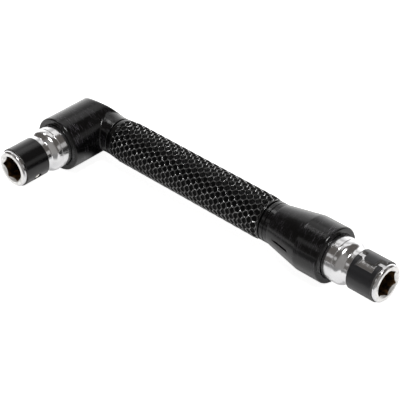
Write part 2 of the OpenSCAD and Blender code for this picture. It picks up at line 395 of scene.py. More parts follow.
class Nodes:
    """A node tree in the making."""

    def __init__(self, tree: bpy.types.NodeTree) -> None:
        """Empties the tree."""
        self.tree = tree
        self.tree.nodes.clear()

    def node(self, kind: str, settings: dict[str, Any], inputs: dict[Any, Any]) -> bpy.types.Node:
        """Adds a node.

        Args:
            kind: Type of the node.
            settings: The node's own settings.
            inputs: Numbers, colours, sockets or values, by the input's name or number.

        Returns:
            The new node.
        """
        node = self.tree.nodes.new(kind)
        for key, setting in settings.items():
            setattr(node, key, setting)
        for key, value in inputs.items():
            source = value.socket if isinstance(value, Value) else value
            if isinstance(source, bpy.types.NodeSocket):
                self.tree.links.new(source, node.inputs[key])
            else:
                node.inputs[key].default_value = source
        return node

    def value(self, kind: str, settings: dict[str, Any], inputs: dict[Any, Any]) -> Value:
        """Adds a node and returns its first output for arithmetic."""
        return Value(self, self.node(kind, settings, inputs).outputs[0])

    def output(self, kind: str, settings: dict[str, Any], inputs: dict[Any, Any], name: str) -> Value:
        """Adds a node and returns its output of the given name for arithmetic."""
        return Value(self, self.node(kind, settings, inputs).outputs[name])

    def blend(self, share: Value, low: Any, high: Any) -> bpy.types.NodeSocket:
        """Mixes two colours by a share from 0 to 1.

        Args:
            share: How much of the second colour there is.
            low: First colour, red, green and blue, or a colour socket.
            high: Second colour, in the same way.

        Returns:
            The mixed colour.
        """
        low, high = (c if isinstance(c, bpy.types.NodeSocket) else (*c, 1) for c in (low, high))
        mix = self.node("ShaderNodeMix", {"data_type": "RGBA"}, {0: share, 6: low, 7: high})
        return mix.outputs[2]


class Paint(Nodes):
    """One material in the making: a Principled shader and the nodes that vary it."""

    def __init__(self, name: str) -> None:
        """Starts a material with an untouched Principled shader.

        Args:
            name: Name of the material.
        """
        self.material = bpy.data.materials.new(name)
        self.material.use_nodes = True
        super().__init__(self.material.node_tree)
        self.shader = self.node("ShaderNodeBsdfPrincipled", {}, {})
        self.node("ShaderNodeOutputMaterial", {}, {0: self.shader.outputs[0]})

    def attribute(self, name: str) -> Value:
        """Returns a number that the piece's mesh stores at its points."""
        return self.output("ShaderNodeAttribute", {"attribute_name": name}, {}, "Fac")

    def coordinates(self) -> bpy.types.NodeSocket:
        """Returns the object coordinates, in metres."""
        return self.node("ShaderNodeTexCoord", {}, {}).outputs["Object"]

    def axes(self, place: Place) -> tuple[Value, Value, Value]:
        """Splits the object coordinates along a place's axes, in millimetres from its origin.

        Args:
            place: The place whose axes are used.

        Returns:
            The values across, up and along.
        """
        origin = tuple(float(v) * MM for v in place.origin)
        shifted = self.node(
            "ShaderNodeVectorMath", {"operation": "SUBTRACT"}, {0: self.coordinates(), 1: origin}
        )
        parts = []
        for axis in (place.across, place.up, place.along):
            scaled = tuple(float(v) / MM for v in axis)
            dot = self.node(
                "ShaderNodeVectorMath",
                {"operation": "DOT_PRODUCT"},
                {0: shifted.outputs[0], 1: scaled},
            )
            parts.append(Value(self, dot.outputs["Value"]))
        return parts[0], parts[1], parts[2]

    def noise(
        self, size_mm: float, detail: float = 3.0, stretch: Sequence[float] = (1, 1, 1)
    ) -> Value:
        """Adds noise whose blotches are about a given size.

        Args:
            size_mm: Size of a blotch.
            detail: Octaves of finer noise.
            stretch: Lengths of a blotch along X, Y and Z, relative to its size.

        Returns:
            The noise, about 0.5 on average.
        """
        scale = tuple(1 / (size_mm * MM * s) for s in stretch)
        mapped = self.node("ShaderNodeMapping", {}, {"Vector": self.coordinates(), "Scale": scale})
        return self.value(
            "ShaderNodeTexNoise", {}, {"Vector": mapped.outputs[0], "Scale": 1.0, "Detail": detail}
        )

    def bump(self, height: Value, depth_mm: float) -> None:
        """Feeds a height from 0 to 1 to the shader's normal, at a depth in millimetres."""
        relief = {"Strength": 1.0, "Distance": depth_mm * MM, "Height": height}
        self.set("Normal", self.node("ShaderNodeBump", {}, relief).outputs[0])

    def set(self, name: str, value: Any) -> None:
        """Sets or links one input of the Principled shader.

        Args:
            name: Name of the input.
            value: A number, a colour, a socket or a value.
        """
        socket = value.socket if isinstance(value, Value) else value
        if isinstance(socket, bpy.types.NodeSocket):
            self.tree.links.new(socket, self.shader.inputs[name])
        else:
            self.shader.inputs[name].default_value = value


@dataclass(frozen=True)
class Finish:
    """A finish on a Principled shader. Its sizes and depths are in millimetres."""

    name: str

    def cover(self, paint: Paint) -> None:
        """Sets the shader's inputs."""
        raise NotImplementedError

    def build(self) -> bpy.types.Material:
        """Makes the material.

        Returns:
            The finished material.
        """
        paint = Paint(self.name)
        self.cover(paint)
        return paint.material


@dataclass(frozen=True)
class BlackCoat(Finish):
    """Black baked coat on a turned casting, with fine turning lines near its face."""

    place: Place
    lines_from: float
    lines_to: float
    base: Colour = (0.0012, 0.0012, 0.0014)
    worn: Colour = (0.003, 0.003, 0.0033)
    scuffed: Colour = (0.072, 0.067, 0.078)
    specular: float = 0.4
    roughness: float = 0.12
    cloud_size: float = 3.0
    grain_size: float = 0.25
    dust_size: float = 0.3
    line_w: float = 0.22
    line_stretch: float = 9.0
    lines_start_l: float = 1.5
    lines_end_l: float = 0.4
    depth: float = 0.008

    def cover(self, paint: Paint) -> None:
        """Darkens the coat, and scuffs it along its turning lines and in dusty spots.

        Args:
            paint: The material in the making.
        """
        along = paint.axes(self.place)[2]
        cloud = paint.noise(self.cloud_size)
        grain = paint.noise(self.grain_size, 2.0)
        stretch = tuple(1.0 if abs(a) > 0.5 else self.line_stretch for a in self.place.along)
        lines = paint.noise(self.line_w, 2.0, stretch)
        started = along.step(self.lines_from, self.lines_from + self.lines_start_l)
        zone = started * (1 - along.step(self.lines_to - self.lines_end_l, self.lines_to))
        dust = paint.noise(self.dust_size, 1.0).step(0.62, 0.72) * cloud.step(0.5, 0.7) * 0.6
        scuffs = lines.step(0.52, 0.68) * (zone * 0.7 + 0.3) * cloud.step(0.35, 0.55) + dust
        coat = paint.blend(cloud.step(0.35, 0.75), self.base, self.worn)
        paint.set("Base Color", paint.blend(scuffs, coat, self.scuffed))
        paint.set("Specular IOR Level", self.specular)
        paint.set("Roughness", self.roughness + cloud * 0.08 + grain * 0.05 + scuffs * 0.15)
        paint.bump(grain * 0.8 + lines * (zone * 0.8 + 0.2) + cloud, self.depth)


@dataclass(frozen=True)
class KnurlCoat(Finish):
    """Black coat on the knurl: dull in the cells, glossy on the crests, whose tops are worn and painted lighter as
    a highlight.
    """

    base: Colour = (0.0012, 0.0012, 0.0014)
    # Crest colour: partly wear, partly a painted highlight on the crests.
    crest: Colour = (0.016, 0.016, 0.017)
    specular: float = 0.08
    roughness: float = 0.3
    coat_roughness: float = 0.08
    coat_ior: float = 2.1
    grain_size: float = 0.2
    cloud_size: float = 5.0
    depth: float = 0.006

    def cover(self, paint: Paint) -> None:
        """Lays a glossy coat over the crests, and paints their tops lighter in places, as wear and as a painted
        highlight.

        Args:
            paint: The material in the making.
        """
        crest = paint.attribute("crest")
        grain = paint.noise(self.grain_size, 2.0)
        # Painted highlight, partly wear: crest tops painted lighter in patches.
        wear_and_painted_highlight = crest.step(0.55, 0.95) * paint.noise(self.cloud_size).step(0.1, 0.6)
        paint.set("Base Color", paint.blend(wear_and_painted_highlight, self.base, self.crest))
        paint.set("Specular IOR Level", self.specular)
        paint.set("Roughness", self.roughness + grain * 0.15)
        paint.set("Coat Weight", crest.step(0.35, 0.75))
        paint.set("Coat Roughness", self.coat_roughness)
        paint.set("Coat IOR", self.coat_ior)
        paint.bump(grain, self.depth)


@dataclass(frozen=True)
class Chrome(Finish):
    """Bright chrome over turned steel, with faint turning marks and smudges."""

    place: Place
    colour: Colour = (0.8, 0.8, 0.81)
    dull: Colour = (0.66, 0.66, 0.67)
    roughness: float = 0.11
    smudge_size: float = 4.0
    wander_size: float = 2.0
    marks_per_mm: float = 12.0
    depth: float = 0.0012

    def cover(self, paint: Paint) -> None:
        """Smudges the chrome, and waves its surface along the turning marks.

        Args:
            paint: The material in the making.
        """
        along = paint.axes(self.place)[2]
        smudge = paint.noise(self.smudge_size, 4.0)
        wave = along * self.marks_per_mm + paint.noise(self.wander_size) * 2
        marks = wave.math("SINE") * 0.5 + 0.5
        paint.set("Metallic", 1.0)
        paint.set("Base Color", paint.blend(smudge.step(0.4, 0.8), self.colour, self.dull))
        paint.set("Roughness", self.roughness + smudge * 0.12)
        paint.bump(marks * 0.4 + smudge, self.depth)


@dataclass(frozen=True)
class DarkSteel(Finish):
    """Dark brown-black steel that lines the socket, far darker than the chrome outside."""

    base: Colour = (0.03, 0.017, 0.009)
    brown_cloud: Colour = (0.22, 0.115, 0.04)
    metallic: float = 0.7
    roughness: float = 0.35
    cloud_size: float = 1.5
    grain_size: float = 0.15
    depth: float = 0.006

    def cover(self, paint: Paint) -> None:
        """Clouds the dark steel brown in places.

        Args:
            paint: The material in the making.
        """
        cloud = paint.noise(self.cloud_size, 4.0)
        grain = paint.noise(self.grain_size, 2.0)
        paint.set("Metallic", self.metallic)
        paint.set("Base Color", paint.blend(cloud.step(0.4, 0.7), self.base, self.brown_cloud))
        paint.set("Roughness", self.roughness + grain * 0.15)
        paint.bump(grain + cloud, self.depth)


@dataclass(frozen=True)
class BlackenedSpring(Finish):
    """Satin black oxide on the sprung clips, worn and painted lighter along the edges as a highlight."""

    base: Colour
    roughness: float
    # Edge colour: partly wear, partly a painted highlight on the edges.
    wear_and_painted_highlight: Colour = (0.16, 0.155, 0.15)
    cloud_size: float = 2.5
    grain_size: float = 0.2
    depth: float = 0.005

    def cover(self, paint: Paint) -> None:
        """Paints parts of the edges lighter, as worn oxide and as a painted edge highlight.

        Args:
            paint: The material in the making.
        """
        cloud = paint.noise(self.cloud_size, 4.0)
        grain = paint.noise(self.grain_size, 2.0)
        # Painted edge highlight, partly wear: the clip's edge points are painted lighter in patches.
        worn = paint.attribute("edge") * cloud.step(0.3, 0.6)
        paint.set("Base Color", paint.blend(worn, self.base, self.wear_and_painted_highlight))
        paint.set("Roughness", self.roughness + grain * 0.06 + cloud * 0.08)
        paint.bump(grain * 0.6 + cloud, self.depth)


@dataclass(frozen=True)
class GroundSteel(Finish):
    """Bare steel with a fine ground finish, for noses, balls, dowels, rod and magnets."""

    base: Colour
    roughness: float
    cloud_size: float = 1.2
    grain_size: float = 0.12
    depth: float = 0.003

    def cover(self, paint: Paint) -> None:
        """Clouds the steel a little darker in places.

        Args:
            paint: The material in the making.
        """
        cloud = paint.noise(self.cloud_size, 3.0)
        grain = paint.noise(self.grain_size, 2.0)
        darker = tuple(0.7 * c for c in self.base)
        paint.set("Metallic", 1.0)
        paint.set("Base Color", paint.blend(cloud.step(0.4, 0.8), self.base, darker))
        paint.set("Roughness", self.roughness + grain * 0.1)
        paint.bump(grain, self.depth)


# Pieces


@dataclass(frozen=True)
class HolderSizes:
    """Sizes of a bit holder and of what it carries, in millimetres from the body's face."""

    flat_r: float = 3.225
    corner_r: float = 3.724
    socket_depth: float = 10.0
    lead_in: float = 0.62
    magnet_r: float = 3.0
    magnet_t: float = 2.5
    shank_r: float = 4.0
    shank_l: float = 9.0
    groove_r: float = 4.804
    waist_r: float = 4.954
    collar_r: float = 6.004
    nose_r: float = 5.104
    collar_seat: float = 0.8
    collar_l: float = 3.0
    shoulder_l: float = 2.8
    waist_l: float = 1.5
    clip_l: float = 7.7
    clip_t: float = 0.62
    clip_end_gap: float = 0.15
    nose_ring_l: float = 1.0
    nose_edge: float = 0.4
    ball_r: float = 1.25
    ball_reach: float = 0.4
    ball_gap: float = 0.05
    ball_travel: float = 0.35
    window_gap: float = 0.03
    seat_deg: float = 36.0
    press_gap: float = 0.02
    seat_gap: float = 0.2
    shank_end_gap: float = 0.2

    @property
    def groove_z(self) -> float:
        """Returns where the clip groove begins."""
        return self.collar_l + self.shoulder_l + self.waist_l

    @property
    def nose_ring_z(self) -> float:
        """Returns where the clip groove ends."""
        return self.groove_z + self.clip_l + 2 * self.clip_end_gap

    @property
    def nose_l(self) -> float:
        """Returns the length in front of the body's face."""
        return self.nose_ring_z + self.nose_ring_l

    @property
    def socket_z(self) -> float:
        """Returns where the socket's bottom lies."""
        return self.nose_l - self.socket_depth

    @property
    def ball_z(self) -> float:
        """Returns where the ball lies."""
        return self.groove_z + self.clip_end_gap + self.clip_l / 2

    @property
    def ball_x(self) -> float:
        """Returns the ball's distance from the holder's axis."""
        return self.flat_r - self.ball_reach + self.ball_r

    @property
    def clip_r_in(self) -> float:
        """Returns the clip's inner radius."""
        return self.groove_r + self.press_gap

    @property
    def window_r(self) -> float:
        """Works out the clip's window, which just clears the ball pushed outward.

        Returns:
            Its radius, half the chord where the clip's inside meets a sphere around that ball.
        """
        room = self.ball_r + self.window_gap
        out = self.ball_x + self.ball_travel
        height = (self.clip_r_in**2 + out**2 - room**2) / (2 * out)
        return math.sqrt(self.clip_r_in**2 - height**2)


SIZES = HolderSizes()


@dataclass(frozen=True)
class Finishes:
    """The finished materials, one of each."""

    head: bpy.types.Material
    ferrule: bpy.types.Material
    knurl: bpy.types.Material
    chrome: dict[Holder, bpy.types.Material]
    socket: bpy.types.Material
    face: bpy.types.Material
    clip: dict[Holder, bpy.types.Material]
    ball: bpy.types.Material
    magnet: bpy.types.Material
    bare: bpy.types.Material


@dataclass
class BitHolder:
    """One bit holder with its clip and ball, drawn from the body's face outward."""

    holder: Holder
    place: Place
    finishes: Finishes
    sizes: HolderSizes = SIZES
    columns: int = 192
    mouth_rows: int = 26
    wall_rows: int = 14
    first_depth: float = 0.02
    mouth_share: float = 1.3
    wall_share: float = 1.4
    hex_corner_gap: float = 0.05
    outline_step: float = 0.14
    shank_edge: float = 0.4
    collar_edge: float = 0.3
    crisp_edge: float = 0.05
    groove_edge: float = 0.06
    crease_back: float = 0.1
    crease_w: float = 0.28
    crease_depth: float = 0.13
    shoulder_arc_l: float = 1.204
    shoulder_arc_r: float = 3.5
    waist_blend: float = 0.7
    nose_back_edge: float = 0.12
    nose_rim_edge: float = 0.25
    nose_face_edge: float = 0.18
    face_reach: float = 0.03
    cone_reach: float = 0.01
    overrun: float = 0.5
    ball_rows: int = 33
    ball_columns: int = 48
    tongue_w: float = 3.6
    tongue_gap: float = 0.65
    tongue_corner: float = 0.85
    shoulder_deg: float = 136.5
    tab_deg: float = 157.0
    tongue_deg: float = 164.5
    notch_deg: float = 185.5
    clip_edge: float = 0.13
    tab_gap_deg: float = 1.0
    tab_columns: int = 10
    sleeve_columns: int = 130
    tongue_columns: int = 12
    tip_share: float = 0.96
    corner_rows: int = 9
    straight_rows: int = 5
    edge_rows: int = 4
    window_under: float = 1.0
    window_over: float = 2.0

    @property
    def notch_half(self) -> float:
        """Returns half the width of the notch that frees the tongue."""
        return self.tongue_w / 2 + self.tongue_gap

    def outer_outline(self) -> np.ndarray:
        """Draws the outline from the shank's back, over the outside, to the socket's mouth.

        Returns:
            Array of (radius, place) rows.
        """
        s = self.sizes
        crease, shoulder_end = s.collar_l - self.crease_back, s.collar_l + s.shoulder_l
        corners = [
            (0.0, -s.shank_l, 0),
            (s.shank_r, -s.shank_l, self.shank_edge),
            (s.shank_r, -s.collar_seat, 0.0),
            (s.collar_r, -s.collar_seat, self.collar_edge),
            (s.collar_r, crease - self.crease_w / 2, self.crisp_edge),
            (s.collar_r - self.crease_depth, crease, self.crisp_edge),
            (s.collar_r, crease + self.crease_w / 2, self.crisp_edge),
            (s.collar_r, shoulder_end - self.shoulder_arc_l, self.shoulder_arc_r),
            (s.waist_r, shoulder_end, self.waist_blend),
            (s.waist_r, s.groove_z, self.groove_edge),
            (s.groove_r, s.groove_z, self.crisp_edge),
            (s.groove_r, s.nose_ring_z, self.groove_edge),
            (s.nose_r, s.nose_ring_z, self.nose_back_edge),
            (s.nose_r, s.nose_l - s.nose_edge, self.nose_rim_edge),
            (s.nose_r - s.nose_edge, s.nose_l, self.nose_face_edge),
            (s.flat_r + s.lead_in, s.nose_l, 0.0),
        ]
        return rounded_outline(corners, self.outline_step)

    def body(self) -> bpy.types.Object:
        """Makes the holder.

        Its radius is the outline's outside. Inside the socket it is the larger of the lead-in's
        cone, flat_r + lead_in - depth, and the hexagon, flat_r / cos(angle from the flat).

        Returns:
            The holder.
        """
        s = self.sizes
        outer = self.outer_outline()
        mouth = np.linspace(self.first_depth, self.mouth_share * s.lead_in, self.mouth_rows)
        wall = np.linspace(self.wall_share * s.lead_in, s.socket_depth, self.wall_rows)
        depth = np.concatenate([mouth, wall])
        cone = s.flat_r + s.lead_in - depth
        pocket_r, pocket_z = s.magnet_r + s.press_gap, s.socket_z - s.magnet_t
        bottom = np.array([[pocket_r, s.socket_z], [pocket_r, pocket_z], [0.0, pocket_z]])
        angle = angles(self.columns)
        fold = np.mod(angle + math.pi / 6, math.pi / 3) - math.pi / 6
        hexagon = np.minimum(s.flat_r / np.cos(fold), s.corner_r - self.hex_corner_gap)
        radius = np.maximum(cone[:, None], hexagon)
        rings = np.concatenate(
            [
                revolved(outer, self.columns),
                around(radius, angle, (s.nose_l - depth)[:, None]),
                revolved(bottom, self.columns),
            ]
        )
        piece = solid(f"{self.holder.value}_holder_body", self.place.to_frame(rings))
        self.paint_body(piece, outer, cone, hexagon, len(rings))
        self.drill(piece)
        return piece

    def paint_body(
        self,
        piece: bpy.types.Object,
        outer: np.ndarray,
        cone: np.ndarray,
        hexagon: np.ndarray,
        rows: int,
    ) -> None:
        """Gives the outside chrome, the nose's face and lead-in satin, and the socket dark steel.

        Args:
            piece: The holder.
            outer: The outline outside the socket.
            cone: The lead-in's radius at each ring of the socket.
            hexagon: The hexagon's radius at each column.
            rows: Number of rings in all.
        """
        materials = {
            HolderSurface.CHROME: self.finishes.chrome[self.holder],
            HolderSurface.SOCKET: self.finishes.socket,
            HolderSurface.FACE: self.finishes.face,
        }
        for surface in HolderSurface:
            piece.data.materials.append(materials[surface])
        mouth, bottom = len(outer) - 1, len(outer) - 1 + len(cone)
        at_face = outer[:, 1] > self.sizes.nose_l - self.face_reach
        on_face = (at_face[1:] & at_face[:-1])[:, None]
        on_wall = hexagon[None, :] > cone[:, None] - self.cone_reach
        index = np.full((rows - 1, self.columns), HolderSurface.SOCKET, np.int32)
        index[:mouth] = np.where(on_face, HolderSurface.FACE, HolderSurface.CHROME)
        index[mouth:bottom] = np.where(on_wall, HolderSurface.SOCKET, HolderSurface.FACE)
        fans = np.repeat([HolderSurface.CHROME, HolderSurface.SOCKET], self.columns)
        index = np.concatenate([index.ravel(), fans]).astype(np.int32)
        piece.data.polygons.foreach_set("material_index", index)

    def drill(self, piece: bpy.types.Object) -> None:
        """Drills the ball's hole, with the cone that seats the ball.

        The cone touches a sphere of the ball's radius and gap, so its tip lies that radius over
        sin(half angle) inside the ball's middle.

        Args:
            piece: The holder.
        """
        s = self.sizes
        half = math.radians(s.seat_deg)
        room = s.ball_r + s.ball_gap
        tip = s.ball_x - room / math.sin(half)
        outline = np.array(
            [[0.0, tip], [room, tip + room / math.tan(half)], [room, s.groove_r + self.overrun]]
        )
        rings = revolved(outline, self.ball_columns)
        sideways = np.stack([rings[..., 2], rings[..., 1], rings[..., 0] + s.ball_z], axis=-1)
        carve(piece, solid("cutter", self.place.to_frame(sideways)))

    def ball(self) -> bpy.types.Object:
        """Makes the detent ball, a sphere of rings around a line along the holder.

        Returns:
            The ball.
        """
        s = self.sizes
        tilt = np.linspace(0, math.pi, self.ball_rows)[1:-1]
        outline = np.stack([s.ball_r * np.sin(tilt), -s.ball_r * np.cos(tilt)], axis=-1)
        rings = revolved(outline, self.ball_columns) + np.array([s.ball_x, 0, s.ball_z])
        piece = solid(f"{self.holder.value}_ball", self.place.to_frame(rings))
        piece.data.materials.append(self.finishes.ball)
        return piece

    def clip_rows(self) -> np.ndarray:
        """Places the clip's rows along the holder, close together at each edge.

        Returns:
            The places from the ball's middle, in rising order.
        """
        half, notch = self.sizes.clip_l / 2, self.notch_half
        tongue, corner, edge = self.tongue_w / 2, self.tongue_corner, self.clip_edge
        rounding = corner * np.sin(np.linspace(0, math.pi / 2, self.corner_rows))
        near = np.concatenate(
            [
                np.linspace(0, tongue - corner, self.straight_rows)[:-1],
                (tongue - corner + rounding)[:-1],
                [tongue - edge / 2, tongue],
                [(tongue + notch) / 2, notch, notch + edge],
                np.linspace(notch + edge, half - edge, self.edge_rows)[1:],
                [half],
            ]
        )
        near = np.unique(np.round(near, 5))
        return np.concatenate([-near[:0:-1], near])

    def clip(self) -> bpy.types.Object:
        """Makes the slit sleeve as one grid of angles by rows, with the cells that it lacks left out.

        The tongue's columns stretch between its shoulder and its rounded tip, which lies back by
        corner - sqrt(corner^2 - past^2) where a row is past the tip's straight part. Edge points
        lie an edge's width lower than the sleeve's outside. The side holder's clip is mounted
        end for end, so its angles run the other way.

        Returns:
            The clip.
        """
        s = self.sizes
        rows = self.clip_rows()
        outer, half = s.clip_r_in + s.clip_t, self.tongue_w / 2
        edge_deg = math.degrees(self.clip_edge / outer)
        tab, low, high = self.tab_deg - 360, self.notch_deg - 360, self.shoulder_deg
        tabs = np.linspace(tab + edge_deg, low - self.tab_gap_deg, self.tab_columns)
        sleeve = np.linspace(low + edge_deg, high - edge_deg, self.sleeve_columns)
        plain = np.concatenate([[tab], tabs, [low], sleeve, [high]])
        share = np.append(np.linspace(0, self.tip_share, self.tongue_columns)[1:], 1.0)
        past = np.clip(np.abs(rows) - (half - self.tongue_corner), 0, self.tongue_corner)
        back = self.tongue_corner - np.sqrt(self.tongue_corner**2 - past**2)
        tip = self.tongue_deg - np.degrees(back / outer)
        tongue = self.shoulder_deg + share * (tip[:, None] - self.shoulder_deg)
        angle = np.concatenate([np.broadcast_to(plain, (len(rows), len(plain))), tongue], axis=1)
        middle = np.abs(rows[1:] + rows[:-1]) / 2
        cells = np.ones((len(rows) - 1, angle.shape[1] - 1), bool)
        cells[:, : 1 + len(tabs)] = (middle > self.notch_half)[:, None]
        cells[:, len(plain) - 1 :] = (middle < half)[:, None]
        sense = -1.0 if self.holder is Holder.SIDE else 1.0
        return self.shell(rows + s.ball_z, sense * np.radians(angle), cells, outer)

    def shell(
        self, rows: np.ndarray, angle: np.ndarray, cells: np.ndarray, outer: float
    ) -> bpy.types.Object:
        """Gives a grid of cells on a cylinder its thickness and its side walls.

        Args:
            rows: Place of each row along the holder.
            angle: Angle of each grid point, in radians.
            cells: Which cells are there.
            outer: Outer radius.

        Returns:
            The clip.
        """
        there = np.pad(cells, 1)
        count = there[1:, 1:].astype(int) + there[:-1, 1:] + there[1:, :-1] + there[:-1, :-1]
        rim = (count > 0) & (count < 4)
        radius = np.where(rim, outer - self.clip_edge, outer)
        top = around(radius, angle, rows[:, None])
        under = around(self.sizes.clip_r_in, angle, rows[:, None])
        index = np.arange(angle.size).reshape(angle.shape)
        offset = angle.size
        a, b = index[:-1, :-1], index[:-1, 1:]
        c, d = index[1:, 1:], index[1:, :-1]
        quad = np.stack([a, b, c, d], -1)[cells]
        faces = [quad, quad[:, ::-1] + offset]
        edges = (
            (a, b, there[:-2, 1:-1]),
            (b, c, there[1:-1, 2:]),
            (c, d, there[2:, 1:-1]),
            (d, a, there[1:-1, :-2]),
        )
        for start, end, beside in edges:
            open_side = cells & ~beside
            p, q = start[open_side], end[open_side]
            faces.append(np.stack([q, p, p + offset, q + offset], -1))
        quads = np.concatenate(faces)
        vertices = self.place.to_frame(np.concatenate([top, under]).reshape(-1, 3))
        used, renumbered = np.unique(quads, return_inverse=True)
        quads = renumbered.reshape(-1, 4)
        vertices = vertices[used]
        if enclosed_volume(vertices, quads) < 0:
            quads = quads[:, ::-1]
        piece = add_mesh(f"{self.holder.value}_clip", vertices, quads.tolist())
        self.cut_window(piece)
        piece.data.materials.append(self.finishes.clip[self.holder])
        self.mark_edges(piece, outer)
        return piece

    def cut_window(self, piece: bpy.types.Object) -> None:
        """Cuts the ball's round window into the clip.

        Args:
            piece: The clip.
        """
        s = self.sizes
        start = np.array([s.clip_r_in - self.window_under, 0.0, s.ball_z])
        end = np.array([s.clip_r_in + self.window_over, 0.0, s.ball_z])
        carve(piece, rod_cutter(start, end, s.window_r, self.place))

    def mark_edges(self, piece: bpy.types.Object, outer: float) -> None:
        """Marks the points below the sleeve's outside, which are painted lighter as worn edges and as an edge
        highlight.

        Args:
            piece: The clip.
            outer: Outer radius of the sleeve.
        """
        mesh = piece.data
        places = np.zeros(len(mesh.vertices) * 3)
        mesh.vertices.foreach_get("co", places)
        local = places.reshape(-1, 3) / MM - self.place.origin
        radius = np.hypot(local @ self.place.across, local @ self.place.up)
        edge = (radius < outer - self.clip_edge / 2).astype(float)
        mesh.attributes.new("edge", "FLOAT", "POINT").data.foreach_set("value", edge)

    def build(self) -> list[bpy.types.Object]:
        """Makes the holder's pieces, and puts each on its body and its finish.

        Returns:
            The pieces.
        """
        name = self.holder.value
        body, clip, ball = self.body(), self.clip(), self.ball()
        links = (
            (body, f"{name}_bit_holder", "tool", "chrome"),
            (clip, f"{name}_retaining_clip", "tool", "black_clip"),
            (ball, f"{name}_detent_ball", f"{name}_ball", "ball_steel"),
        )
        for piece, node, rides_on, slot in links:
            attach(piece, rides_on)
            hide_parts(node)
        for node, material in (
            (f"{name}_magnet", self.finishes.magnet),
            (f"{name}_holder_pin", self.finishes.bare),
        ):
            dress(frame["nodes"][node], material)
        return [body, clip, ball]


def dress(node: bpy.types.Object, material: bpy.types.Material) -> None:
    """Gives a CAD node a material of the scene's own.

    Args:
        node: The CAD node's object.
        material: Its material.
    """
    node.data.materials.clear()
    node.data.materials.append(material)


